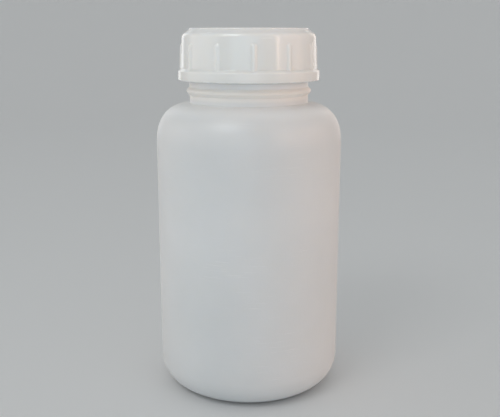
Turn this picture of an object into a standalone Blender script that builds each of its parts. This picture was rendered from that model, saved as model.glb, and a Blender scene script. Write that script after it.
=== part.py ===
"""Wide-mouth round reagent bottle of translucent moulded plastic, with a ribbed screw cap.

Frame: metres, +Z up, origin at the centre of the base, on the surface that the bottle stands on.

Sub-parts, each one closed solid:
  bottle     blow-moulded body: recessed base, shoulder, transfer bead, threaded neck and lip
  seal_disc  loose disc inside the cap that closes on the lip and rises with the cap
  screw_cap  cap with grip ribs, a plain lower band and an inside thread

The cap unscrews about +Z, on the axis that the empty "closure_axis" marks. One turn lifts it by one pitch.
"""
import math

import bmesh
import bpy

MM = 0.001

# Overall size
BODY_RADIUS = 48.0 * MM
TOTAL_HEIGHT = 188.0 * MM

# Bottle: base and side wall
WALL = 1.5 * MM
BASE_CORNER = 14.75 * MM
FOOT_WIDTH = 4.0 * MM
RECESS_DEPTH = 2.6 * MM
RECESS_EDGE_DEPTH = 1.7 * MM
RECESS_STEP = 3.4 * MM
FLOOR_THICKNESS = 1.8 * MM

# Bottle: shoulder, a superellipse that starts on the side wall and ends level at the neck
SHOULDER_FOOT = 129.9 * MM
SHOULDER_RISE = 20.9 * MM
SHOULDER_CENTRE = 28.8 * MM
SHOULDER_POWER = 2.43

# Bottle: neck
NECK_RADIUS = 30.45 * MM
BORE_RADIUS = 27.8 * MM
NECK_FILLET = 0.6 * MM
BORE_FILLET = 2.5 * MM
BEAD_HEIGHT = 156.9 * MM
BEAD_PROUD = 1.57 * MM
BEAD_HALF_WIDTH = 1.8 * MM
LIP_HEIGHT = 183.9 * MM
LIP_BEVEL = 0.5 * MM

# Screw thread, right-handed, shared by the neck and the cap
PITCH = 6.0 * MM
RIDGE_BASE = 3.0 * MM
RIDGE_CREST = 1.2 * MM
NECK_RIDGE_PROUD = 1.35 * MM
CAP_RIDGE_PROUD = 1.30 * MM
RIDGE_BURIED = 0.5 * MM
RIDGE_FADE = math.radians(32.0)
FLANK_SPACING = 2.27 * MM
NECK_THREAD_FOOT = 168.2 * MM
NECK_THREAD_TURNS = 2.25
CAP_THREAD_TURNS = 2.0
CAP_THREAD_LEAD = 0.1

# Cap, measured from its own lower edge
CAP_HEIGHT = 25.75 * MM
CAP_FOOT = TOTAL_HEIGHT - CAP_HEIGHT
CAP_TOP_THICKNESS = 2.4 * MM
CAP_INNER_RADIUS = 32.15 * MM
CAP_INNER_CORNER = 0.6 * MM
BAND_RADIUS = 36.2 * MM
BAND_HEIGHT = 5.8 * MM
BAND_BEVEL = 0.5 * MM
BAND_ROUND = 1.5 * MM
BAND_ROUND_SWEEP = 60.0
MOUTH_BEVEL_HEIGHT = 1.0 * MM
SKIRT_RADIUS_LOW = 34.8 * MM
SKIRT_RADIUS_HIGH = 34.15 * MM
SKIRT_TOP = 21.2 * MM
CORNER_RADIUS = 2.6 * MM
CORNER_SWEEP = 60.0
PLATEAU_RADIUS = 30.3 * MM
PLATEAU_STEP = 0.55 * MM
PLATEAU_BEVEL = 0.25 * MM

# Grip ribs
RIB_COUNT = 12
RIB_PHASE = math.radians(4.0)
RIB_PROUD = 0.7 * MM
RIB_FOOT_HALF = math.radians(2.2)
RIB_CREST_HALF = math.radians(1.2)
RIB_TOP = 18.8 * MM
RIB_FADE = 1.6 * MM
SKIRT_STATIONS = 2

# Sealing disc
DISC_RADIUS = 31.2 * MM
DISC_THICKNESS = 1.15 * MM
DISC_BEVEL = 0.2 * MM
DISC_GAP = 0.3 * MM

# Facets round the axis, and along the curved stretches of an outline
ROUND_STEPS = 48
BASE_STEPS = 6
DOME_STEPS = 2
SHOULDER_STEPS = 10
BEAD_STEPS = 6
CAP_CORNER_STEPS = 4
FILLET_STEPS = 2
MERGE_DISTANCE = 1e-6
SHARP_ANGLE = math.radians(35.0)


def clear_scene():
    """Remove whatever the file holds, so that the model starts empty."""
    for obj in list(bpy.data.objects):
        bpy.data.objects.remove(obj, do_unlink=True)


def plastic(name, colour, roughness):
    """A plain moulded plastic."""
    material = bpy.data.materials.new(name)
    material.use_nodes = True
    shader = material.node_tree.nodes["Principled BSDF"]
    shader.inputs["Base Color"].default_value = (*colour, 1.0)
    shader.inputs["Roughness"].default_value = roughness
    shader.inputs["Metallic"].default_value = 0.0
    return material


def arc(centre, radius, start, end, steps):
    """Points (r, z) on a circular arc, from the start angle to the end angle in degrees."""
    points = []
    for i in range(steps + 1):
        angle = math.radians(start + (end - start) * i / steps)
        points.append((centre[0] + radius * math.cos(angle), centre[1] + radius * math.sin(angle)))
    return points


def shoulder(outer_radius, centre_radius, end_radius, foot, rise, steps):
    """Points up a superellipse, from the side wall to the radius where the neck cuts it."""
    reach = outer_radius - centre_radius
    end_cosine = ((end_radius - centre_radius) / reach) ** (SHOULDER_POWER / 2.0)
    end_angle = math.acos(end_cosine)
    points = []
    for i in range(steps + 1):
        angle = end_angle * i / steps
        r = centre_radius + reach * math.cos(angle) ** (2.0 / SHOULDER_POWER)
        z = foot + rise * math.sin(angle) ** (2.0 / SHOULDER_POWER)
        points.append((r, z))
    return points


def recess_dome(edge):
    """Points on the shallow dome under the base, from the axis out to the edge of the dome."""
    points = []
    for i in range(DOME_STEPS + 1):
        share = i / DOME_STEPS
        points.append((edge * share, RECESS_DEPTH - (RECESS_DEPTH - RECESS_EDGE_DEPTH) * share ** 2))
    return points


def bottle_outline():
    """The bottle's section, from the middle of its underside, up the outside and down the inside."""
    foot_outer = BODY_RADIUS - BASE_CORNER
    foot_inner = foot_outer - FOOT_WIDTH
    dome = recess_dome(foot_inner - RECESS_STEP)
    outer_corner = arc((foot_outer, BASE_CORNER), BASE_CORNER, -90.0, 0.0, BASE_STEPS)
    outer_shoulder = shoulder(BODY_RADIUS, SHOULDER_CENTRE, NECK_RADIUS + NECK_FILLET,
                              SHOULDER_FOOT, SHOULDER_RISE, SHOULDER_STEPS)
    shoulder_top = outer_shoulder[-1][1]
    neck_root = arc((NECK_RADIUS + NECK_FILLET, shoulder_top + NECK_FILLET), NECK_FILLET,
                    -90.0, -180.0, FILLET_STEPS)[1:]
    bead = []
    for i in range(BEAD_STEPS + 1):
        angle = math.pi * i / BEAD_STEPS
        r = NECK_RADIUS + BEAD_PROUD * math.sin(angle)
        bead.append((r, BEAD_HEIGHT - BEAD_HALF_WIDTH * math.cos(angle)))
    lip = [
        (NECK_RADIUS, LIP_HEIGHT - LIP_BEVEL),
        (NECK_RADIUS - LIP_BEVEL, LIP_HEIGHT),
        (BORE_RADIUS + LIP_BEVEL, LIP_HEIGHT),
        (BORE_RADIUS, LIP_HEIGHT - LIP_BEVEL),
    ]
    inner_radius = BODY_RADIUS - WALL
    inner_rise = SHOULDER_RISE - WALL
    inner_shoulder = shoulder(inner_radius, SHOULDER_CENTRE - WALL, BORE_RADIUS + BORE_FILLET,
                              SHOULDER_FOOT, inner_rise, SHOULDER_STEPS)
    ceiling = inner_shoulder[-1][1]
    bore_root = arc((BORE_RADIUS + BORE_FILLET, ceiling + BORE_FILLET), BORE_FILLET,
                    180.0, 270.0, FILLET_STEPS + 1)[:-1]
    inner_corner = arc((foot_outer, BASE_CORNER), BASE_CORNER - WALL, 0.0, -90.0, BASE_STEPS)
    floor = [(r, z + FLOOR_THICKNESS) for r, z in reversed(dome)]
    outside = dome + [(foot_inner, 0.0)] + outer_corner + outer_shoulder + neck_root + bead
    inside = bore_root + list(reversed(inner_shoulder)) + inner_corner + floor
    return outside + lip + inside


def disc_outline():
    """The sealing disc's section, from the middle of its underside round to the middle of its top."""
    return [
        (0.0, 0.0),
        (DISC_RADIUS - DISC_BEVEL, 0.0),
        (DISC_RADIUS, DISC_BEVEL),
        (DISC_RADIUS, DISC_THICKNESS - DISC_BEVEL),
        (DISC_RADIUS - DISC_BEVEL, DISC_THICKNESS),
        (0.0, DISC_THICKNESS),
    ]


def skirt_radius(z):
    """Radius of the drafted skirt wall between the ribs at height z above the cap's lower edge."""
    share = (z - BAND_HEIGHT) / (SKIRT_TOP - BAND_HEIGHT)
    return SKIRT_RADIUS_LOW + (SKIRT_RADIUS_HIGH - SKIRT_RADIUS_LOW) * share


def cap_rings():
    """The cap's section as (radius, height, rib height), from the inside of its top round to the outside."""
    ceiling = CAP_HEIGHT - CAP_TOP_THICKNESS
    inside = [
        (0.0, ceiling, 0.0),
        (CAP_INNER_RADIUS - CAP_INNER_CORNER, ceiling, 0.0),
        (CAP_INNER_RADIUS, ceiling - CAP_INNER_CORNER, 0.0),
        (CAP_INNER_RADIUS, MOUTH_BEVEL_HEIGHT, 0.0),
        (CAP_INNER_RADIUS + BAND_BEVEL, 0.0, 0.0),
    ]
    band = [
        (BAND_RADIUS - BAND_BEVEL, 0.0, 0.0),
        (BAND_RADIUS, BAND_BEVEL, 0.0),
    ]
    for r, z in arc((BAND_RADIUS - BAND_ROUND, BAND_HEIGHT - BAND_ROUND), BAND_ROUND,
                    0.0, BAND_ROUND_SWEEP, FILLET_STEPS):
        band.append((r, z, 0.0))
    skirt = [
        (skirt_radius(BAND_HEIGHT), BAND_HEIGHT, RIB_PROUD),
        (skirt_radius(RIB_TOP - RIB_FADE), RIB_TOP - RIB_FADE, RIB_PROUD),
        (skirt_radius(RIB_TOP), RIB_TOP, 0.0),
    ]
    corner = []
    for r, z in arc((SKIRT_RADIUS_HIGH - CORNER_RADIUS, SKIRT_TOP), CORNER_RADIUS,
                    0.0, CORNER_SWEEP, CAP_CORNER_STEPS):
        corner.append((r, z, 0.0))
    plateau_foot = CAP_HEIGHT - PLATEAU_STEP
    top = [
        (PLATEAU_RADIUS + PLATEAU_BEVEL, plateau_foot, 0.0),
        (PLATEAU_RADIUS, CAP_HEIGHT - PLATEAU_BEVEL, 0.0),
        (PLATEAU_RADIUS - PLATEAU_BEVEL, CAP_HEIGHT, 0.0),
        (0.0, CAP_HEIGHT, 0.0),
    ]
    return inside + band + skirt + corner + top


def cap_stations():
    """Angles round the cap as (angle, rib share): the share is 1 on a rib's crest and 0 between the ribs."""
    sector = 2.0 * math.pi / RIB_COUNT
    plain = sector - 2.0 * RIB_FOOT_HALF
    stations = []
    for rib in range(RIB_COUNT):
        middle = RIB_PHASE + rib * sector
        stations.append((middle - RIB_FOOT_HALF, 0.0))
        stations.append((middle - RIB_CREST_HALF, 1.0))
        stations.append((middle + RIB_CREST_HALF, 1.0))
        stations.append((middle + RIB_FOOT_HALF, 0.0))
        for i in range(1, SKIRT_STATIONS + 1):
            stations.append((middle + RIB_FOOT_HALF + plain * i / (SKIRT_STATIONS + 1), 0.0))
    return stations


def new_object(name, mesh_builder, material, location=(0.0, 0.0, 0.0), parent=None):
    """Make a named object from a closed bmesh: triangulated, facing outward and shaded smooth."""
    bmesh.ops.remove_doubles(mesh_builder, verts=mesh_builder.verts[:], dist=MERGE_DISTANCE)
    bmesh.ops.triangulate(mesh_builder, faces=mesh_builder.faces[:])
    bmesh.ops.recalc_face_normals(mesh_builder, faces=mesh_builder.faces[:])
    mesh = bpy.data.meshes.new(name)
    mesh_builder.to_mesh(mesh)
    mesh_builder.free()
    mesh.shade_smooth()
    mesh.set_sharp_from_angle(angle=SHARP_ANGLE)
    obj = bpy.data.objects.new(name, mesh)
    bpy.context.collection.objects.link(obj)
    if material is not None:
        mesh.materials.append(material)
    obj.parent = parent
    obj.location = location
    return obj


def turned(outline):
    """Spin an (r, z) outline once round Z. Points on the axis close the ends."""
    bm = bmesh.new()
    verts = [bm.verts.new((r, 0.0, z)) for r, z in outline]
    edges = [bm.edges.new(pair) for pair in zip(verts, verts[1:])]
    bmesh.ops.spin(bm, geom=verts + edges, cent=(0.0, 0.0, 0.0), axis=(0.0, 0.0, 1.0),
                   angle=2.0 * math.pi, steps=ROUND_STEPS)
    return bm


def ribbed(rings, stations):
    """Skin a section that carries ribs: each ring bulges by its rib height at the ribbed stations."""
    bm = bmesh.new()
    loops = []
    for radius, z, rib in rings:
        loop = []
        for angle, share in stations:
            r = radius + rib * share
            loop.append(bm.verts.new((r * math.cos(angle), r * math.sin(angle), z)))
        loops.append(loop)
    count = len(stations)
    for low, high in zip(loops, loops[1:]):
        for i in range(count):
            j = (i + 1) % count
            bm.faces.new((low[i], low[j], high[j], high[i]))
    return bm


def thread_ridge(name, wall_radius, proud, outward, start_turn, turns, foot):
    """A helical ridge of trapezium section that fades into its wall at both ends.

    Its foot is buried in the wall, so that a union makes the two one solid.
    """
    steps = round(turns * ROUND_STEPS)
    flank = 0.5 * (RIDGE_BASE - RIDGE_CREST)
    buried_half = 0.5 * RIDGE_BASE + flank * RIDGE_BURIED / proud
    total = 2.0 * math.pi * turns
    bm = bmesh.new()
    sections = []
    for i in range(steps + 1):
        travelled = total * i / steps
        angle = 2.0 * math.pi * start_turn + travelled
        z = foot + PITCH * (start_turn + turns * i / steps)
        fade = min(1.0, travelled / RIDGE_FADE, (total - travelled) / RIDGE_FADE)
        crest = proud * fade - 0.5 * RIDGE_BURIED * (1.0 - fade)
        crest_half = buried_half - flank * (crest + RIDGE_BURIED) / proud
        corners = (
            (-RIDGE_BURIED, -buried_half),
            (-RIDGE_BURIED, buried_half),
            (crest, crest_half),
            (crest, -crest_half),
        )
        section = []
        for offset, rise in corners:
            r = wall_radius + outward * offset
            section.append(bm.verts.new((r * math.cos(angle), r * math.sin(angle), z + rise)))
        sections.append(section)
    for low, high in zip(sections, sections[1:]):
        for i in range(4):
            j = (i + 1) % 4
            bm.faces.new((low[i], low[j], high[j], high[i]))
    bm.faces.new(sections[0])
    bm.faces.new(sections[-1])
    ridge = new_object(name, bm, None)
    ridge.hide_render = True
    ridge.display_type = "WIRE"
    return ridge


def unite(obj, ridge):
    """Join a ridge to the wall that it stands on."""
    ridge.parent = obj
    union = obj.modifiers.new(ridge.name, "BOOLEAN")
    union.operation = "UNION"
    union.object = ridge


def build_bottle():
    """The bottle body, standing on the origin."""
    natural = plastic("natural_polyethylene", (0.80, 0.82, 0.80), 0.38)
    bottle = new_object("bottle", turned(bottle_outline()), natural)
    ridge = thread_ridge("neck_thread_form", NECK_RADIUS, NECK_RIDGE_PROUD, 1.0, 0.0,
                         NECK_THREAD_TURNS, NECK_THREAD_FOOT)
    unite(bottle, ridge)
    return bottle


def build_closure():
    """The cap and its disc, hung on an empty that marks the axis they turn and rise on."""
    axis = bpy.data.objects.new("closure_axis", None)
    bpy.context.collection.objects.link(axis)
    axis.location = (0.0, 0.0, CAP_FOOT)
    axis.empty_display_type = "SINGLE_ARROW"
    axis.empty_display_size = CAP_HEIGHT

    cap_plastic = plastic("white_polypropylene", (0.86, 0.87, 0.85), 0.28)
    cap = new_object("screw_cap", ribbed(cap_rings(), cap_stations()), cap_plastic, parent=axis)
    thread_foot = NECK_THREAD_FOOT - FLANK_SPACING - CAP_FOOT
    ridge = thread_ridge("cap_thread_form", CAP_INNER_RADIUS, CAP_RIDGE_PROUD, -1.0,
                         -CAP_THREAD_LEAD, CAP_THREAD_TURNS, thread_foot)
    unite(cap, ridge)

    disc_plastic = plastic("soft_polyethylene", (0.90, 0.90, 0.88), 0.5)
    disc_foot = LIP_HEIGHT + DISC_GAP - CAP_FOOT
    new_object("seal_disc", turned(disc_outline()), disc_plastic, location=(0.0, 0.0, disc_foot), parent=axis)


clear_scene()
build_bottle()
build_closure()
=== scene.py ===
"""Looks of the wide-mouth reagent bottle: fine moulded surfaces in translucent plastic.

The bottle stands at the origin and its axis is +Z. Lengths are metres. Each piece is a turned surface: an
outline of (radius, height) points spun round the axis, raised or sunk by a relief.
"""
import math

import bpy
import numpy as np
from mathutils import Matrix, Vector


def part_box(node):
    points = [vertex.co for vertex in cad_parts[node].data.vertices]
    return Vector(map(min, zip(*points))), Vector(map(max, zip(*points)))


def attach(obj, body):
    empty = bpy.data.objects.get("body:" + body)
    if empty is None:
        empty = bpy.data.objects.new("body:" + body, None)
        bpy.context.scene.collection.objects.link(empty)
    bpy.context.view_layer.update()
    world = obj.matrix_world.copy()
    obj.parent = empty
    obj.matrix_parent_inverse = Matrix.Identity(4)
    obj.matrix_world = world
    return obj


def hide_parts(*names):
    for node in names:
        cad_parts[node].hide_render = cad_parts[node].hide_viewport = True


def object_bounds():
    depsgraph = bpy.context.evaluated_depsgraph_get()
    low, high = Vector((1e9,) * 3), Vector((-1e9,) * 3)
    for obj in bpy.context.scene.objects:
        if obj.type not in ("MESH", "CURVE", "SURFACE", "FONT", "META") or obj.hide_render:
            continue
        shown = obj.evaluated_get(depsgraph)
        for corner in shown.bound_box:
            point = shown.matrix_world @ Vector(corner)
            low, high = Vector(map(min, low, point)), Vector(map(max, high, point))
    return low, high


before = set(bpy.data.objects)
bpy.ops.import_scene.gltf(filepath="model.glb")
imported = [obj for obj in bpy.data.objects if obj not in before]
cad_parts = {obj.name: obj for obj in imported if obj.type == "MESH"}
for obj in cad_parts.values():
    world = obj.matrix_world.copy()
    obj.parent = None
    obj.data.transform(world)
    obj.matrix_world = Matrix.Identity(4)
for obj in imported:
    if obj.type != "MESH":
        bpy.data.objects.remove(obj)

MM = 0.001
TURN = 2.0 * math.pi
CAD_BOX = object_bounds()

BOTTLE_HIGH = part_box("bottle")[1]
CAP_LOW, CAP_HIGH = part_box("screw_cap")
DISC_LOW, DISC_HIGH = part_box("seal_disc")
FULL_HEIGHT = float(CAD_BOX[1][2])

# Bottle
BODY_RADIUS = float(BOTTLE_HIGH[0])
LIP_HEIGHT = float(BOTTLE_HIGH[2])
WALL = 1.5 * MM
BASE_CORNER = 14.75 * MM
FOOT_WIDTH = 4.0 * MM
RECESS_DEPTH = 2.6 * MM
RECESS_EDGE_DEPTH = 1.7 * MM
RECESS_STEP = 3.4 * MM
FLOOR_THICKNESS = 1.8 * MM
SHOULDER_FOOT = 129.9 * MM
SHOULDER_RISE = 20.9 * MM
SHOULDER_CENTRE = 28.8 * MM
SHOULDER_POWER = 2.43
NECK_RADIUS = 30.45 * MM
BORE_RADIUS = 27.8 * MM
NECK_FILLET = 0.6 * MM
BORE_FILLET = 2.5 * MM
BEAD_HEIGHT = 156.9 * MM
BEAD_PROUD = 1.57 * MM
BEAD_HALF_WIDTH = 2.2 * MM
BEAD_POWER = 1.5
LIP_FILLET = 0.5 * MM

# Screw thread
PITCH = 6.0 * MM
RIDGE_BASE = 3.0 * MM
RIDGE_CREST = 1.2 * MM
NECK_RIDGE_PROUD = 1.35 * MM
CAP_RIDGE_PROUD = 1.30 * MM
RIDGE_FADE_TURNS = 0.09
FLANK_SPACING = 2.27 * MM
NECK_THREAD_FOOT = 168.2 * MM
NECK_THREAD_TURNS = 2.25
CAP_THREAD_TURNS = 2.0
CAP_THREAD_LEAD = 0.1
THREAD_CLEAR_OF_BEAD = 0.5 * MM

# Cap, measured from its lower edge
CAP_FOOT = float(CAP_LOW[2])
CAP_HEIGHT = float(CAP_HIGH[2]) - CAP_FOOT
CAP_TOP_THICKNESS = 2.4 * MM
CAP_INNER_RADIUS = 32.15 * MM
CAP_INNER_CORNER = 0.6 * MM
MOUTH_CHAMFER_HEIGHT = 1.2 * MM
MOUTH_FILLET = 0.25 * MM
BAND_RADIUS = 36.2 * MM
BAND_HEIGHT = 5.8 * MM
BAND_FILLET = 0.5 * MM
BAND_BLEND = 0.85 * MM
BAND_BLEND_DROP = 0.4 * MM
SKIRT_RADIUS_LOW = 34.8 * MM
SKIRT_RADIUS_HIGH = 34.15 * MM
SKIRT_TOP = 21.2 * MM
CORNER_RADIUS = 2.6 * MM
CORNER_END_DEGREES = 60.0
PLATEAU_RADIUS = 30.3 * MM
PLATEAU_STEP = 0.55 * MM
PLATEAU_FILLET = 0.25 * MM
PLATEAU_FOOT_DEGREES = -130.0
RIB_COUNT = 12
RIB_PHASE = math.radians(4.0)
RIB_PROUD = 0.6 * MM
RIB_FOOT_HALF = math.radians(3.1)
RIB_CREST_HALF = math.radians(0.3)
RIB_TOP = 18.8 * MM
RIB_FADE = 1.6 * MM

# Sealing disc
DISC_FILLET = 0.3 * MM
LIP_PRINT_DEPTH = 0.12 * MM
LIP_PRINT_FADE = (0.7, 1.1)

# Moulding marks. A fade is the pair of heights, radii or shares between which a mark comes in or dies out.
SEAM_ANGLE = math.radians(14.0)
SEAM_PROUD = 0.09 * MM
SEAM_HALF_WIDTH = 0.35 * MM
SEAM_FOOT_FADE = (4.0 * MM, 14.0 * MM)
SEAM_LIP_FADE = (0.0, 0.6 * MM)
PINCH_PROUD = 0.35 * MM
PINCH_HALF_WIDTH = 0.8 * MM
PINCH_FLAT_SHARE = 0.3
PINCH_NOTCH = 0.3 * MM
PINCH_FADE = (22.0 * MM, 27.5 * MM)
NOTCH_FADE = (26.0 * MM, 29.0 * MM)
GATE_RADIUS = 2.6 * MM
GATE_DEPTH = 0.35 * MM
GATE_MIDDLE_FADE = (0.1, 0.35)
GATE_RIM_FADE = (0.55, 1.0)

# Unevenness of the blown wall. A wave is (weight, waves in one turn, radians per metre of height, phase).
WAVE_DEPTH = 0.05 * MM
WAVE_SHARE = 0.4
WAVES = ((1.0, 2.0, 31.0, 0.7), (1.0, 3.0, -52.0, 2.1), (0.6, 5.0, 84.0, 4.4))
WAVE_FOOT_FADE = (12.0 * MM, 32.0 * MM)
WAVE_TOP_FADE = (132.0 * MM, 148.0 * MM)
WAVE_INNER_RADIUS = 0.7 * BODY_RADIUS

# Distances between points along the outlines
THREAD_SPACING = 0.27 * MM
FINE_SPACING = 0.3 * MM
LIP_SPACING = 0.4 * MM
CHAMFER_SPACING = 0.5 * MM
DISC_SPACING = 0.7 * MM
SHORT_WALL_SPACING = 0.8 * MM
SKIRT_SPACING = 1.0 * MM
FOOT_SPACING = 1.3 * MM
DISC_TOP_SPACING = 1.5 * MM
BORE_SPACING = 1.6 * MM
PLATEAU_SPACING = 2.5 * MM
CEILING_SPACING = 3.0 * MM
WALL_SPACING = 3.2 * MM
INNER_WALL_SPACING = 4.5 * MM
SUPPORT_GAP = 0.12 * MM
SUPPORTED_LENGTH = 0.5 * MM
NEAR = 0.1 * MM
TOUCHING = 0.01 * MM

# Numbers of points along the outlines and round the pieces
DOME_POINTS = 14
RECESS_STEP_POINTS = 9
BEAD_POINTS = 21
BLEND_POINTS = 11
GATE_POINTS = 9
BOTTLE_STATIONS = 224
SEAM_STATIONS = 15
SEAM_STATION_SPAN = 1.6
SEAM_CLEARANCE = math.radians(2.2)
RIB_STATIONS = 13
RIB_STATION_SPAN = 1.1
RIB_GAP_STATIONS = 9
DISC_STATIONS = 160

# Wear: scales are per metre, and a range is the pair of noise values that become 0 and 1
EDGE_REACH = 1.2 * MM
EDGE_CORE = 0.2
FOOT_REACH = 0.8 * FOOT_WIDTH
WEAR_PATCH_SCALE = 160.0
WEAR_PATCH_RANGE = (0.42, 0.62)
WEAR_WHITENING = 0.25
WEAR_ROUGHENING = 0.16
WEAR_DEPTH = 0.5
SCRATCH_SCALE = 55.0
SCRATCH_FLATNESS = 26.0
SCRATCH_RANGE = (0.64, 0.72)
SCRATCH_DEPTH = 1.6
SCRATCH_WHITENING = 0.7
SCUFF_PATCH_SCALE = 26.0
SCUFF_PATCH_RANGE = (0.50, 0.66)
WORN_WHITE = (0.98, 0.98, 0.98, 1.0)

# Plastics
PLASTIC_IOR = 1.5
SCATTER_BY_COLOUR = (1.0, 0.95, 0.88)
CLOUD_RANGE = (0.3, 0.7)
STREAK_SCALE = 260.0
STREAK_STRETCH = 0.04
STREAK_GLOSS = 0.5
GLOSS_RANGE = (0.4, 1.1)
SHINIER = 0.05
DULLER = 0.07

# Shading painted by height, as (height, grey, warmth). The bottle's wall is thicker at its neck, but its
# steps are painted
# shade and light: darker towards the base, and lighter and warmer where the neck meets the shoulder, round
# the bead and in the shade under the cap
BOTTLE_PAINTED_SHADING = (
    (0.0, 0.71, 0.0),
    (30.0 * MM, 0.76, 0.0),
    (90.0 * MM, 0.79, 0.0),
    (144.0 * MM, 0.775, 0.0),
    (149.5 * MM, 0.86, 0.0),
    (152.0 * MM, 0.79, 0.01),
    (154.2 * MM, 0.82, 0.07),
    (155.2 * MM, 0.87, 0.08),
    (157.0 * MM, 0.76, 0.08),
    (158.5 * MM, 0.93, 0.09),
    (160.0 * MM, 0.95, 0.09),
    (175.0 * MM, 0.90, 0.05),
)
# The cap: painted shade, darker towards its lower edge.
CAP_PAINTED_SHADING = (
    (CAP_FOOT, 0.85, 0.0),
    (CAP_FOOT + 2.0 * MM, 0.915, 0.0),
    (CAP_FOOT + RIB_TOP, 0.945, 0.0),
    (CAP_FOOT + CAP_HEIGHT, 0.97, 0.0),
)
DISC_TINTS = (
    (float(DISC_LOW[2]), 1.0, 0.0),
    (float(DISC_HIGH[2]), 1.0, 0.0),
)

# Camera and floor
CAMERA_DISTANCE = 8.163 * BODY_RADIUS
CAMERA_HEIGHT = 3.834 * BODY_RADIUS
CAMERA_SIDE = 0.6 * MM
CAMERA_PITCH = math.radians(12.92)
CAMERA_LENS = 54.06
CAMERA_SENSOR = 36.0
CAMERA_CLIP = 10.0 * MM
FLOOR_COLOUR = (0.93, 0.925, 0.925, 1.0)
FLOOR_ROUGHNESS = 0.75
FLOOR_RADIUS = 1.3
SWEEP_RADIUS = 0.9
WALL_TOP = 1.4
FLOOR_GAP = 0.1 * MM
FLOOR_STATIONS = 96

# Lights, as (name, location, point faced, width and height, watts, colour)
WORLD_COLOUR = (0.95, 0.99, 1.0, 1.0)
WORLD_STRENGTH = 0.48
BODY_MIDDLE = (0.0, 0.0, 0.12)
NECK_MIDDLE = (0.0, 0.0, 0.16)
CAP_MIDDLE = (0.0, 0.0, 0.18)
PIECE_LIGHTS = (
    ("front_soft", (-0.15, -1.6, 0.30), BODY_MIDDLE, (1.4, 0.6), 4.2, (0.56, 0.82, 1.0)),
    ("front_low", (0.0, -1.3, 0.06), NECK_MIDDLE, (1.0, 0.12), 0.6, (0.9, 0.84, 0.86)),
    ("left_soft", (-1.25, -0.15, 0.50), BODY_MIDDLE, (1.6, 0.9), 4.7, (1.0, 0.83, 0.74)),
    ("right_soft", (1.2, -0.4, 0.50), BODY_MIDDLE, (1.4, 0.9), 3.9, (1.0, 0.55, 0.35)),
    ("left_rim", (-0.6, 1.1, 0.35), BODY_MIDDLE, (0.4, 0.7), 0.8, (1.0, 1.0, 1.0)),
    ("right_rim", (0.6, 1.1, 0.35), BODY_MIDDLE, (0.4, 0.7), 0.8, (1.0, 0.95, 0.9)),
    ("right_strip", (0.64, -0.56, 0.42), CAP_MIDDLE, (0.04, 0.45), 0.75, (1.0, 0.72, 0.56)),
)
ROOM_LIGHT = ("left_window", (-0.38, -0.52, 0.78), CAP_MIDDLE, (0.36, 0.28), 0.8, (0.97, 1.0, 1.0))
GLOSS_LIGHT = ("left_glint", (-0.37, -0.52, 0.93), CAP_MIDDLE, (0.42, 0.36), 3.0, (0.92, 1.0, 1.0))


# ---------------------------------------------------------------- outlines

def line(start, end, spacing):
    """Evenly spaced points on a straight stretch, with one more beside each end."""
    start = np.array(start)
    end = np.array(end)
    length = float(np.linalg.norm(end - start))
    steps = max(1, round(length / spacing))
    shares = np.linspace(0.0, 1.0, steps + 1)
    support = SUPPORT_GAP / max(length, SUPPORTED_LENGTH)
    shares = np.unique(np.concatenate([shares, [support, 1.0 - support]]))
    return start + shares[:, None] * (end - start)


def arc(centre, radius, start, end, steps):
    """Points on a circular arc between two angles in degrees."""
    angles = np.radians(np.linspace(start, end, steps + 1))
    return np.stack([centre[0] + radius * np.cos(angles), centre[1] + radius * np.sin(angles)], 1)


def shoulder(outer_radius, centre_radius, end_radius, foot, rise, steps):
    """Points up a superellipse, from the side wall to the radius where the neck cuts it."""
    reach = outer_radius - centre_radius
    end_cosine = ((end_radius - centre_radius) / reach) ** (SHOULDER_POWER / 2.0)
    angles = np.linspace(0.0, math.acos(end_cosine), steps + 1)
    power = 2.0 / SHOULDER_POWER
    radii = centre_radius + reach * np.cos(angles) ** power
    heights = foot + rise * np.sin(angles) ** power
    return np.stack([radii, heights], 1)


def joined(*parts):
    """One outline from several stretches, without doubled points."""
    points = np.concatenate([np.atleast_2d(part) for part in parts])
    steps = np.linalg.norm(np.diff(points, axis=0), axis=1)
    keep = np.concatenate([[True], steps > TOUCHING])
    return points[keep]


def smooth(low, high, value):
    """0 below low, 1 above high, and a soft step between them."""
    share = np.clip((value - low) / (high - low), 0.0, 1.0)
    return share * share * (3.0 - 2.0 * share)


def outward(outline):
    """The unit normal at each point of an outline, pointing out of the solid."""
    slopes = np.gradient(outline, axis=0)
    normals = np.stack([slopes[:, 1], -slopes[:, 0]], 1)
    return normals / np.maximum(np.linalg.norm(normals, axis=1, keepdims=True), 1e-12)


def ring_faces(bands, count):
    """The quads between rings of points, where each band joins one ring to the next."""
    low = np.arange(bands * count).reshape(bands, count)
    across = np.roll(low, -1, axis=1)
    return np.stack([low, across, across + count, low + count], 2).reshape(-1, 4).tolist()


def smooth_object(name, verts, faces):
    """A smooth-shaded mesh object."""
    mesh = bpy.data.meshes.new(name)
    mesh.from_pydata(verts.tolist(), [], faces)
    mesh.update()
    mesh.shade_smooth()
    obj = bpy.data.objects.new(name, mesh)
    bpy.context.collection.objects.link(obj)
    return obj


def turned_surface(name, outline, stations, relief, directions):
    """Spin an outline whose first and last points are poles on the axis.

    Every other point becomes a ring, and the relief moves each of the ring's points along its direction.
    """
    radius = outline[:, 0][:, None] + relief * directions[:, 0][:, None]
    height = outline[:, 1][:, None] + relief * directions[:, 1][:, None]
    count = len(stations)
    bands = len(outline) - 3
    body = np.stack([radius * np.cos(stations), radius * np.sin(stations), height], 2)[1:-1].reshape(-1, 3)
    poles = np.array([[0.0, 0.0, height[0, 0]], [0.0, 0.0, height[-1, 0]]])
    first_pole = len(body)
    last_ring = bands * count
    faces = ring_faces(bands, count)
    faces += [[first_pole, (i + 1) % count, i] for i in range(count)]
    faces += [[first_pole + 1, last_ring + i, last_ring + (i + 1) % count] for i in range(count)]
    return smooth_object(name, np.concatenate([body, poles]), faces)


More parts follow.
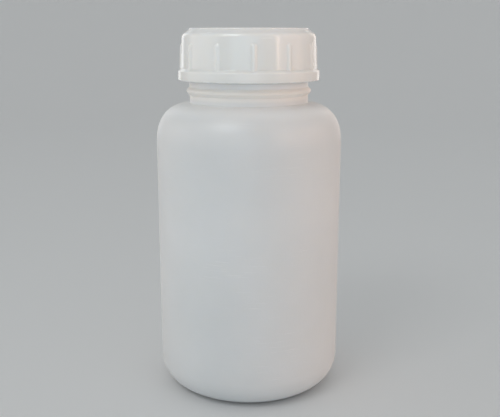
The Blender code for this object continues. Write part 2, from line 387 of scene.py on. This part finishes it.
def thread_height(stations, heights, foot, start_turn, turns, proud):
    """Height of the helical ridge at each (ring, station): a trapezium with softened corners."""
    share = stations[None, :] / TURN
    z = heights[:, None]
    wrap = np.round((z - foot) / PITCH - share)
    along = share + wrap
    offset = np.abs(z - foot - PITCH * along)
    rise = np.clip((0.5 * RIDGE_BASE - offset) / (0.5 * (RIDGE_BASE - RIDGE_CREST)), 0.0, 1.0)
    rise = 0.5 * rise + 0.5 * smooth(0.0, 1.0, rise)
    fade = smooth(0.0, RIDGE_FADE_TURNS, along - start_turn)
    fade *= smooth(0.0, RIDGE_FADE_TURNS, start_turn + turns - along)
    return proud * rise * fade


# ---------------------------------------------------------------- bottle

def bottle_outline():
    """The bottle's section from the middle of its underside, up the outside and down the inside.

    Returns the points and a mask that is True on the outside.
    """
    foot_outer = BODY_RADIUS - BASE_CORNER
    foot_inner = foot_outer - FOOT_WIDTH
    recess_edge = foot_inner - RECESS_STEP
    dome = np.linspace(0.0, recess_edge, DOME_POINTS)
    dome_rise = RECESS_DEPTH - (RECESS_DEPTH - RECESS_EDGE_DEPTH) * (dome / recess_edge) ** 2
    slope = np.linspace(0.0, 1.0, RECESS_STEP_POINTS)[1:]
    step_rise = RECESS_EDGE_DEPTH * (1.0 - smooth(0.0, 1.0, slope))
    outer_shoulder = shoulder(BODY_RADIUS, SHOULDER_CENTRE, NECK_RADIUS + NECK_FILLET,
                              SHOULDER_FOOT, SHOULDER_RISE, steps=36)
    neck_foot = float(outer_shoulder[-1, 1]) + NECK_FILLET
    bead_share = np.linspace(-1.0, 1.0, BEAD_POINTS)
    bead_rise = BEAD_PROUD * (1.0 - bead_share ** 2) ** BEAD_POWER
    lip_middle = LIP_HEIGHT - LIP_FILLET
    outside = joined(
        np.stack([dome, dome_rise], 1),
        np.stack([recess_edge + RECESS_STEP * slope, step_rise], 1),
        line((foot_inner, 0.0), (foot_outer, 0.0), FOOT_SPACING),
        arc((foot_outer, BASE_CORNER), BASE_CORNER, -90.0, 0.0, steps=20),
        line((BODY_RADIUS, BASE_CORNER), (BODY_RADIUS, SHOULDER_FOOT), WALL_SPACING),
        outer_shoulder,
        arc((NECK_RADIUS + NECK_FILLET, neck_foot), NECK_FILLET, -90.0, -180.0, steps=5),
        line((NECK_RADIUS, neck_foot), (NECK_RADIUS, BEAD_HEIGHT - BEAD_HALF_WIDTH), SHORT_WALL_SPACING),
        np.stack([NECK_RADIUS + bead_rise, BEAD_HEIGHT + BEAD_HALF_WIDTH * bead_share], 1),
        line((NECK_RADIUS, BEAD_HEIGHT + BEAD_HALF_WIDTH), (NECK_RADIUS, lip_middle), THREAD_SPACING),
        arc((NECK_RADIUS - LIP_FILLET, lip_middle), LIP_FILLET, 0.0, 90.0, steps=5),
    )
    inner_radius = BODY_RADIUS - WALL
    inner_shoulder = shoulder(inner_radius, SHOULDER_CENTRE - WALL, BORE_RADIUS + BORE_FILLET,
                              SHOULDER_FOOT, SHOULDER_RISE - WALL, steps=26)
    bore_foot = float(inner_shoulder[-1, 1]) + BORE_FILLET
    floor_dome = np.stack([dome, dome_rise + FLOOR_THICKNESS], 1)
    inside = joined(
        line((NECK_RADIUS - LIP_FILLET, LIP_HEIGHT), (BORE_RADIUS + LIP_FILLET, LIP_HEIGHT), LIP_SPACING),
        arc((BORE_RADIUS + LIP_FILLET, lip_middle), LIP_FILLET, 90.0, 180.0, steps=5),
        line((BORE_RADIUS, lip_middle), (BORE_RADIUS, bore_foot), BORE_SPACING),
        arc((BORE_RADIUS + BORE_FILLET, bore_foot), BORE_FILLET, 180.0, 270.0, steps=7),
        inner_shoulder[::-1],
        line((inner_radius, SHOULDER_FOOT), (inner_radius, BASE_CORNER), INNER_WALL_SPACING),
        arc((foot_outer, BASE_CORNER), BASE_CORNER - WALL, 0.0, -90.0, steps=14),
        floor_dome[::-1],
    )
    outline = np.concatenate([outside, inside[1:]])
    on_outside = np.arange(len(outline)) < len(outside)
    return outline, on_outside


def bottle_stations():
    """Angles round the bottle, closer together at the two mould seams."""
    even = np.linspace(0.0, TURN, BOTTLE_STATIONS, endpoint=False)
    near = np.radians(np.linspace(-SEAM_STATION_SPAN, SEAM_STATION_SPAN, SEAM_STATIONS))
    seams = np.array([SEAM_ANGLE, SEAM_ANGLE + math.pi])
    gap = np.abs((even[:, None] - seams + math.pi) % TURN - math.pi)
    even = even[gap.min(axis=1) > SEAM_CLEARANCE]
    return np.sort(np.concatenate([even, seams[0] + near, seams[1] + near]))


def bottle_relief(outline, on_outside, stations):
    """Thread, mould seam, pinch-off mark and the faint unevenness of a blown wall."""
    radius = outline[:, 0][:, None]
    height = outline[:, 1][:, None]
    outside = on_outside[:, None].astype(float)
    from_seam = (stations[None, :] - SEAM_ANGLE + 0.5 * math.pi) % math.pi - 0.5 * math.pi

    bead_top = BEAD_HEIGHT + BEAD_HALF_WIDTH
    above_bead = smooth(bead_top, bead_top + THREAD_CLEAR_OF_BEAD, height)
    thread = thread_height(stations, outline[:, 1], NECK_THREAD_FOOT, 0.0, NECK_THREAD_TURNS,
                           NECK_RIDGE_PROUD)
    thread = thread * outside * above_bead * (radius > NECK_RADIUS - NEAR)

    seam_offset = np.abs(radius * np.sin(from_seam))
    on_wall = outside * smooth(*SEAM_FOOT_FADE, height) * smooth(*SEAM_LIP_FADE, LIP_HEIGHT - height)
    seam = SEAM_PROUD * (1.0 - smooth(0.0, SEAM_HALF_WIDTH, seam_offset)) * on_wall

    under = outside * (height < RECESS_DEPTH + NEAR) * (radius < BODY_RADIUS - BASE_CORNER + NEAR)
    strip = 1.0 - smooth(PINCH_FLAT_SHARE * PINCH_HALF_WIDTH, PINCH_HALF_WIDTH, seam_offset)
    pinch = PINCH_PROUD * (1.0 - smooth(*PINCH_FADE, radius)) - PINCH_NOTCH * smooth(*NOTCH_FADE, radius)
    pinch = under * strip * pinch

    wave = 0.0
    for weight, lobes, climb, phase in WAVES:
        wave = wave + weight * np.sin(lobes * stations + climb * height + phase)
    window = smooth(*WAVE_FOOT_FADE, height) * (1.0 - smooth(*WAVE_TOP_FADE, height))
    window = window * (radius > WAVE_INNER_RADIUS)
    unevenness = WAVE_DEPTH * (WAVE_SHARE * wave - 1.0) * window * np.where(on_outside[:, None], 1.0, -1.0)
    return thread + seam + pinch + unevenness


def make_bottle():
    """The blow-moulded bottle body."""
    outline, on_outside = bottle_outline()
    stations = bottle_stations()
    relief = bottle_relief(outline, on_outside, stations)
    bottle = turned_surface("bottle_moulding", outline, stations, relief, outward(outline))
    bottle.data.materials.append(natural_polyethylene())
    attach(bottle, "bottle_body")
    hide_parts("bottle")
    return bottle


# ---------------------------------------------------------------- cap

def skirt_point(z):
    """The point of the drafted skirt wall, between the ribs, at height z above the cap's lower edge."""
    share = (z - BAND_HEIGHT) / (SKIRT_TOP - BAND_HEIGHT)
    return SKIRT_RADIUS_LOW + (SKIRT_RADIUS_HIGH - SKIRT_RADIUS_LOW) * share, z


def cap_outline():
    """The cap's section from the middle of its ceiling, down the inside and up the outside."""
    ceiling = CAP_HEIGHT - CAP_TOP_THICKNESS
    inner_corner = CAP_INNER_RADIUS - CAP_INNER_CORNER
    mouth = CAP_INNER_RADIUS + BAND_FILLET
    mouth_edge = mouth + MOUTH_FILLET
    blend = np.linspace(0.0, 1.0, BLEND_POINTS)
    blend_foot = BAND_HEIGHT - BAND_BLEND_DROP - BAND_BLEND
    blend_top = BAND_HEIGHT - BAND_BLEND_DROP + BAND_BLEND
    blend_radii = BAND_RADIUS + (skirt_point(blend_top)[0] - BAND_RADIUS) * smooth(0.0, 1.0, blend)
    corner_centre = (SKIRT_RADIUS_HIGH - CORNER_RADIUS, SKIRT_TOP)
    corner = arc(corner_centre, CORNER_RADIUS, 0.0, CORNER_END_DEGREES, steps=9)
    fillet = PLATEAU_FILLET
    plateau_foot = (PLATEAU_RADIUS + fillet, CAP_HEIGHT - PLATEAU_STEP + fillet)
    plateau_side = arc(plateau_foot, fillet, PLATEAU_FOOT_DEGREES, -180.0, steps=4)
    gate = np.linspace(0.0, 1.0, GATE_POINTS)
    gate_rise = -GATE_DEPTH * (1.0 - smooth(*GATE_RIM_FADE, gate)) * smooth(*GATE_MIDDLE_FADE, gate)
    return joined(
        line((0.0, ceiling), (inner_corner, ceiling), CEILING_SPACING),
        arc((inner_corner, ceiling - CAP_INNER_CORNER), CAP_INNER_CORNER, 90.0, 0.0, steps=4),
        line((CAP_INNER_RADIUS, ceiling - CAP_INNER_CORNER), (CAP_INNER_RADIUS, MOUTH_CHAMFER_HEIGHT),
             THREAD_SPACING),
        line((CAP_INNER_RADIUS, MOUTH_CHAMFER_HEIGHT), (mouth, MOUTH_FILLET), LIP_SPACING),
        arc((mouth_edge, MOUTH_FILLET), MOUTH_FILLET, 180.0, 270.0, steps=3),
        line((mouth_edge, 0.0), (BAND_RADIUS - BAND_FILLET, 0.0), SHORT_WALL_SPACING),
        arc((BAND_RADIUS - BAND_FILLET, BAND_FILLET), BAND_FILLET, -90.0, 0.0, steps=5),
        line((BAND_RADIUS, BAND_FILLET), (BAND_RADIUS, blend_foot), SHORT_WALL_SPACING),
        np.stack([blend_radii, blend_foot + (blend_top - blend_foot) * blend], 1),
        line(skirt_point(blend_top), skirt_point(RIB_TOP - RIB_FADE), SKIRT_SPACING),
        line(skirt_point(RIB_TOP - RIB_FADE), skirt_point(SKIRT_TOP), FINE_SPACING),
        corner,
        line(corner[-1], plateau_side[0], CHAMFER_SPACING),
        plateau_side,
        arc((PLATEAU_RADIUS - fillet, CAP_HEIGHT - fillet), fillet, 0.0, 90.0, steps=4),
        line((PLATEAU_RADIUS - fillet, CAP_HEIGHT), (GATE_RADIUS, CAP_HEIGHT), PLATEAU_SPACING),
        np.stack([GATE_RADIUS * gate, CAP_HEIGHT + gate_rise], 1)[::-1],
    )


def cap_stations():
    """Angles round the cap, closer together on each rib."""
    sector = TURN / RIB_COUNT
    on_rib = np.linspace(-RIB_STATION_SPAN * RIB_FOOT_HALF, RIB_STATION_SPAN * RIB_FOOT_HALF, RIB_STATIONS)
    between = np.linspace(on_rib[-1], sector + on_rib[0], RIB_GAP_STATIONS)[1:-1]
    one = np.concatenate([on_rib, between])
    ribs = RIB_PHASE + sector * np.arange(RIB_COUNT)
    return (ribs[:, None] + one[None, :]).reshape(-1)


def cap_relief(outline, outside, stations):
    """Grip ribs on the skirt and the thread inside it, as distances out of the plastic across the axis."""
    radius = outline[:, 0][:, None]
    height = outline[:, 1][:, None]
    outside = outside[:, None]
    sector = TURN / RIB_COUNT
    from_rib = np.abs((stations[None, :] - RIB_PHASE + 0.5 * sector) % sector - 0.5 * sector)
    crest = 1.0 - smooth(RIB_CREST_HALF, RIB_FOOT_HALF, from_rib)
    crest = crest * (1.0 - smooth(RIB_TOP - RIB_FADE, RIB_TOP, height))
    on_skirt = outside & (height > BAND_HEIGHT - BAND_BLEND) & (height < RIB_TOP)
    ribs = np.maximum(skirt_point(height)[0] + RIB_PROUD * crest - radius, 0.0) * on_skirt
    thread_foot = NECK_THREAD_FOOT - FLANK_SPACING - CAP_FOOT
    thread = thread_height(stations, outline[:, 1], thread_foot, -CAP_THREAD_LEAD, CAP_THREAD_TURNS,
                           CAP_RIDGE_PROUD)
    inside_wall = ~outside & (np.abs(radius - CAP_INNER_RADIUS) < TOUCHING)
    return ribs + thread * inside_wall


def make_cap():
    """The injection-moulded screw cap."""
    outline = cap_outline()
    outside = np.arange(len(outline)) > int(np.argmin(outline[:, 1]))
    stations = cap_stations()
    relief = cap_relief(outline, outside, stations)
    across = np.stack([np.where(outside, 1.0, -1.0), np.zeros(len(outline))], 1)
    cap = turned_surface("cap_moulding", outline + np.array([0.0, CAP_FOOT]), stations, relief, across)
    cap.data.materials.append(white_polypropylene())
    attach(cap, "cap_body")
    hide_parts("screw_cap")
    return cap


# ---------------------------------------------------------------- sealing disc

def make_disc():
    """The loose disc that closes on the lip, with the ring that the lip has pressed into it."""
    low = float(DISC_LOW[2])
    high = float(DISC_HIGH[2])
    edge = float(DISC_HIGH[0])
    fillet = DISC_FILLET
    outline = joined(
        line((0.0, low), (edge - fillet, low), DISC_SPACING),
        arc((edge - fillet, low + fillet), fillet, -90.0, 0.0, steps=4),
        line((edge, low + fillet), (edge, high - fillet), FINE_SPACING),
        arc((edge - fillet, high - fillet), fillet, 0.0, 90.0, steps=4),
        line((edge - fillet, high), (0.0, high), DISC_TOP_SPACING),
    )
    stations = np.linspace(0.0, TURN, DISC_STATIONS, endpoint=False)
    from_lip = np.abs(outline[:, 0] - 0.5 * (BORE_RADIUS + NECK_RADIUS))
    half_lip = 0.5 * (NECK_RADIUS - BORE_RADIUS)
    pressed = 1.0 - smooth(LIP_PRINT_FADE[0] * half_lip, LIP_PRINT_FADE[1] * half_lip, from_lip)
    pressed = -LIP_PRINT_DEPTH * pressed * (outline[:, 1] < low + TOUCHING)
    relief = pressed[:, None] * np.ones(len(stations))[None, :]
    disc = turned_surface("sealing_wad", outline, stations, relief, outward(outline))
    disc.data.materials.append(soft_polyethylene())
    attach(disc, "disc_body")
    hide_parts("seal_disc")
    return disc


# ---------------------------------------------------------------- materials

def new_material(name):
    """A node material, its node tree and its shader."""
    material = bpy.data.materials.new(name)
    material.use_nodes = True
    tree = material.node_tree
    return material, tree, tree.nodes["Principled BSDF"]


def noise(tree, vector, scale, detail, roughness):
    """A noise texture on the given coordinates."""
    node = tree.nodes.new("ShaderNodeTexNoise")
    node.inputs["Scale"].default_value = scale
    node.inputs["Detail"].default_value = detail
    node.inputs["Roughness"].default_value = roughness
    tree.links.new(vector, node.inputs["Vector"])
    return node.outputs["Fac"]


def stretched(tree, vector, scale):
    """The coordinates scaled along each axis."""
    node = tree.nodes.new("ShaderNodeMapping")
    node.inputs["Scale"].default_value = scale
    tree.links.new(vector, node.inputs["Vector"])
    return node.outputs["Vector"]


def remapped(tree, value, low, high, new_low=0.0, new_high=1.0):
    """The value moved from one range to another and clamped."""
    node = tree.nodes.new("ShaderNodeMapRange")
    node.inputs["From Min"].default_value = low
    node.inputs["From Max"].default_value = high
    node.inputs["To Min"].default_value = new_low
    node.inputs["To Max"].default_value = new_high
    tree.links.new(value, node.inputs["Value"])
    return node.outputs["Result"]


def mixed_colour(tree, share, first, second):
    """A colour between two constant colours."""
    node = tree.nodes.new("ShaderNodeMix")
    node.data_type = "RGBA"
    node.inputs["A"].default_value = (*first, 1.0)
    node.inputs["B"].default_value = (*second, 1.0)
    tree.links.new(share, node.inputs["Factor"])
    return node.outputs["Result"]


def added(tree, first, second, weight):
    """first + weight * second."""
    node = tree.nodes.new("ShaderNodeMath")
    node.operation = "MULTIPLY_ADD"
    tree.links.new(second, node.inputs[0])
    node.inputs[1].default_value = weight
    tree.links.new(first, node.inputs[2])
    return node.outputs["Value"]


def painted_shading_by_height(tree, colour, coordinates, shading_stops):
    """The colour times a slightly warm grey that follows the height, which paints shade and light on: each
    stop is (height, grey, warmth).
    """
    height = tree.nodes.new("ShaderNodeSeparateXYZ")
    tree.links.new(coordinates, height.inputs["Vector"])
    ramp = tree.nodes.new("ShaderNodeValToRGB")
    ramp.color_ramp.interpolation = "EASE"
    elements = ramp.color_ramp.elements
    while len(elements) < len(shading_stops):
        elements.new(0.5)
    for element, (position, grey, warmth) in zip(elements, shading_stops):
        element.position = position / FULL_HEIGHT
        element.color = (grey + warmth, grey + 0.5 * warmth, grey, 1.0)
    tree.links.new(remapped(tree, height.outputs["Z"], 0.0, FULL_HEIGHT), ramp.inputs["Fac"])
    mix = tree.nodes.new("ShaderNodeMix")
    mix.data_type = "RGBA"
    mix.blend_type = "MULTIPLY"
    mix.inputs["Factor"].default_value = 1.0
    tree.links.new(colour, mix.inputs["A"])
    tree.links.new(ramp.outputs["Color"], mix.inputs["B"])
    return mix.outputs["Result"]


def whitened(tree, colour, share):
    """The colour moved towards white by a share."""
    mix = tree.nodes.new("ShaderNodeMix")
    mix.data_type = "RGBA"
    tree.links.new(share, mix.inputs["Factor"])
    tree.links.new(colour, mix.inputs["A"])
    mix.inputs["B"].default_value = WORN_WHITE
    return mix.outputs["Result"]


def bumped(tree, height, distance):
    """A surface normal from a height."""
    node = tree.nodes.new("ShaderNodeBump")
    node.inputs["Distance"].default_value = distance
    node.inputs["Strength"].default_value = 1.0
    tree.links.new(height, node.inputs["Height"])
    return node.outputs["Normal"]


def combined(tree, operation, first, second):
    """Two values through one math operation."""
    node = tree.nodes.new("ShaderNodeMath")
    node.operation = operation
    for socket, value in zip(node.inputs, (first, second)):
        if isinstance(value, float):
            socket.default_value = value
        else:
            tree.links.new(value, socket)
    return node.outputs["Value"]


def section_point(tree, coordinates):
    """Each surface point as (radius, 0, height), its place in the turned section."""
    length = tree.nodes.new("ShaderNodeVectorMath")
    length.operation = "LENGTH"
    tree.links.new(stretched(tree, coordinates, (1.0, 1.0, 0.0)), length.inputs[0])
    split = tree.nodes.new("ShaderNodeSeparateXYZ")
    tree.links.new(coordinates, split.inputs["Vector"])
    point = tree.nodes.new("ShaderNodeCombineXYZ")
    tree.links.new(length.outputs["Value"], point.inputs["X"])
    tree.links.new(split.outputs["Z"], point.inputs["Z"])
    return point.outputs["Vector"]


def edge_wear(tree, coordinates, edges):
    """A share that is 1 along worn edges and broken up by noise: edges are (radius, height, reach)."""
    point = section_point(tree, coordinates)
    worn = None
    for radius, height, reach in edges:
        gap = tree.nodes.new("ShaderNodeVectorMath")
        gap.operation = "DISTANCE"
        tree.links.new(point, gap.inputs[0])
        gap.inputs[1].default_value = (radius, 0.0, height)
        near = remapped(tree, gap.outputs["Value"], EDGE_CORE * reach, reach, 1.0, 0.0)
        worn = near if worn is None else combined(tree, "MAXIMUM", worn, near)
    patches = noise(tree, coordinates, WEAR_PATCH_SCALE, detail=4.0, roughness=0.65)
    return combined(tree, "MULTIPLY", worn, remapped(tree, patches, *WEAR_PATCH_RANGE))


def scuffs(tree, coordinates):
    """Short level scratches where the piece has rubbed against its neighbours, gathered in patches."""
    flattened = stretched(tree, coordinates, (1.0, 1.0, SCRATCH_FLATNESS))
    lines = noise(tree, flattened, SCRATCH_SCALE, detail=2.0, roughness=0.5)
    patches = noise(tree, coordinates, SCUFF_PATCH_SCALE, detail=3.0, roughness=0.6)
    return combined(tree, "MULTIPLY", remapped(tree, lines, *SCRATCH_RANGE),
                    remapped(tree, patches, *SCUFF_PATCH_RANGE))


def moulded_plastic(name, light, shade, roughness, depth, cloud_scale, grain_scale, streak_weight, bump,
                    shading_stops, edges):
    """Translucent moulded plastic: cloudy colour, shade and light painted by height, uneven gloss, fine
    grain, flow streaks, scuffs and wear.

    light and shade are the two colours of the clouds, and depth is how far light travels inside.
    """
    material, tree, shader = new_material(name)
    coordinates = tree.nodes.new("ShaderNodeTexCoord").outputs["Object"]
    clouds = noise(tree, coordinates, cloud_scale, detail=4.0, roughness=0.55)
    grain = noise(tree, coordinates, grain_scale, detail=2.0, roughness=0.5)
    drawn_out = stretched(tree, coordinates, (1.0, 1.0, STREAK_STRETCH))
    streaks = noise(tree, drawn_out, STREAK_SCALE, detail=3.0, roughness=0.6)
    worn = edge_wear(tree, coordinates, edges)
    scratched = scuffs(tree, coordinates)
    colour = mixed_colour(tree, remapped(tree, clouds, *CLOUD_RANGE), shade, light)
    # Shade and light are painted into the colour here, by height.
    colour = painted_shading_by_height(tree, colour, coordinates, shading_stops)
    marked = combined(tree, "MAXIMUM", worn, combined(tree, "MULTIPLY", scratched, SCRATCH_WHITENING))
    colour = whitened(tree, colour, combined(tree, "MULTIPLY", marked, WEAR_WHITENING))
    unevenness = added(tree, clouds, streaks, STREAK_GLOSS)
    gloss = remapped(tree, unevenness, *GLOSS_RANGE, roughness - SHINIER, roughness + DULLER)
    gloss = added(tree, added(tree, gloss, worn, WEAR_ROUGHENING), scratched, WEAR_ROUGHENING)
    height = added(tree, grain, streaks, streak_weight)
    height = added(tree, added(tree, height, scratched, -SCRATCH_DEPTH), worn, -WEAR_DEPTH)
    tree.links.new(colour, shader.inputs["Base Color"])
    tree.links.new(gloss, shader.inputs["Roughness"])
    tree.links.new(bumped(tree, height, bump), shader.inputs["Normal"])
    shader.inputs["IOR"].default_value = PLASTIC_IOR
    shader.inputs["Subsurface Weight"].default_value = 1.0
    shader.inputs["Subsurface Radius"].default_value = SCATTER_BY_COLOUR
    shader.inputs["Subsurface Scale"].default_value = depth
    return material


def natural_polyethylene():
    """Undyed blow-moulded polyethylene: milky and satin, with painted shade towards the base and painted
    light, whiter and warmer, on the thick-walled neck under the cap.
    """
    foot_middle = BODY_RADIUS - BASE_CORNER - 0.5 * FOOT_WIDTH
    edges = (
        (foot_middle, 0.0, FOOT_REACH),
        (NECK_RADIUS, LIP_HEIGHT, EDGE_REACH),
        (BORE_RADIUS, LIP_HEIGHT, EDGE_REACH),
    )
    return moulded_plastic("natural_polyethylene", light=(0.96, 0.98, 0.985), shade=(0.91, 0.935, 0.94),
                           roughness=0.40, depth=1.6 * MM, cloud_scale=22.0, grain_scale=900.0,
                           streak_weight=0.8, bump=0.03 * MM, shading_stops=BOTTLE_PAINTED_SHADING, edges=edges)


def white_polypropylene():
    """Injection-moulded cap plastic, a little whiter and glossier than the bottle, with painted shade
    towards its lower edge.
    """
    edges = (
        (BAND_RADIUS, CAP_FOOT, EDGE_REACH),
        (PLATEAU_RADIUS, CAP_FOOT + CAP_HEIGHT, EDGE_REACH),
    )
    return moulded_plastic("white_polypropylene", light=(0.91, 0.92, 0.90), shade=(0.88, 0.89, 0.87),
                           roughness=0.16, depth=1.5 * MM, cloud_scale=40.0, grain_scale=1400.0,
                           streak_weight=0.2, bump=0.01 * MM, shading_stops=CAP_PAINTED_SHADING, edges=edges)


def soft_polyethylene():
    """The soft disc, matt and slightly warmer."""
    edges = (
        (float(DISC_HIGH[0]), float(DISC_LOW[2]), EDGE_REACH),
        (float(DISC_HIGH[0]), float(DISC_HIGH[2]), EDGE_REACH),
    )
    return moulded_plastic("soft_polyethylene", light=(0.90, 0.89, 0.86), shade=(0.84, 0.83, 0.80),
                           roughness=0.55, depth=3.0 * MM, cloud_scale=90.0, grain_scale=1800.0,
                           streak_weight=0.1, bump=0.02 * MM, shading_stops=DISC_TINTS, edges=edges)


def floor_material():
    """A plain pale surface."""
    material, _, shader = new_material("pale_floor")
    shader.inputs["Base Color"].default_value = FLOOR_COLOUR
    shader.inputs["Roughness"].default_value = FLOOR_ROUGHNESS
    return material


# ---------------------------------------------------------------- studio

def make_floor():
    """A pale round sweep: flat under the bottle and curved up to a low wall far from it on every side."""
    outline = np.concatenate([
        [(FLOOR_RADIUS + SWEEP_RADIUS, WALL_TOP)],
        arc((FLOOR_RADIUS, SWEEP_RADIUS), SWEEP_RADIUS, 0.0, -90.0, steps=24),
    ])
    count = FLOOR_STATIONS
    stations = np.linspace(0.0, TURN, count, endpoint=False)
    radius = outline[:, 0][:, None]
    height = np.repeat(outline[:, 1][:, None] - FLOOR_GAP, count, axis=1)
    rings = np.stack([radius * np.cos(stations), radius * np.sin(stations), height], 2).reshape(-1, 3)
    middle = [[0.0, 0.0, -FLOOR_GAP]]
    bands = len(outline) - 1
    last_ring = bands * count
    faces = ring_faces(bands, count)
    faces += [[len(rings), last_ring + i, last_ring + (i + 1) % count] for i in range(count)]
    floor = smooth_object("floor", np.concatenate([rings, middle]), faces)
    floor.data.materials.append(floor_material())


def make_light(name, location, target, size, power, colour, receivers=None):
    """A rectangular soft light that faces a point. Where receivers are given, it lights nothing else."""
    data = bpy.data.lights.new(name, "AREA")
    data.shape = "RECTANGLE"
    data.size, data.size_y = size
    data.energy = power
    data.color = colour
    light = bpy.data.objects.new(name, data)
    bpy.context.collection.objects.link(light)
    light.location = location
    direction = np.array(target) - np.array(location)
    yaw = math.atan2(direction[1], direction[0]) - 0.5 * math.pi
    tilt = math.atan2(direction[2], math.hypot(direction[0], direction[1])) + 0.5 * math.pi
    light.rotation_euler = (tilt, 0.0, yaw)
    light.visible_camera = False
    if receivers:
        light.light_linking.receiver_collection = receivers
    return light


def make_studio(pieces):
    """An even surround, lights for the pieces alone, one light for pieces and floor, and the floor.

    The gloss light is only seen as a reflection.
    """
    world = bpy.data.worlds.new("studio")
    bpy.context.scene.world = world
    world.use_nodes = True
    background = world.node_tree.nodes["Background"]
    background.inputs["Color"].default_value = WORLD_COLOUR
    background.inputs["Strength"].default_value = WORLD_STRENGTH
    lit = bpy.data.collections.new("lit_pieces")
    for piece in pieces:
        lit.objects.link(piece)
    for light in PIECE_LIGHTS:
        make_light(*light, lit)
    make_light(*ROOM_LIGHT)
    gloss_light = make_light(*GLOSS_LIGHT, lit)
    gloss_light.visible_diffuse = False
    make_floor()


def make_camera():
    """The camera stands level with the cap and looks slightly down."""
    data = bpy.data.cameras.new("camera")
    data.lens = CAMERA_LENS
    data.sensor_width = CAMERA_SENSOR
    data.clip_start = CAMERA_CLIP
    camera = bpy.data.objects.new("camera", data)
    bpy.context.collection.objects.link(camera)
    camera.location = (CAMERA_SIDE, -CAMERA_DISTANCE, CAMERA_HEIGHT)
    camera.rotation_euler = (0.5 * math.pi - CAMERA_PITCH, 0.0, 0.0)
    bpy.context.scene.camera = camera


bpy.context.scene.view_settings.view_transform = "Standard"
make_camera()
make_studio([make_bottle(), make_cap(), make_disc()])
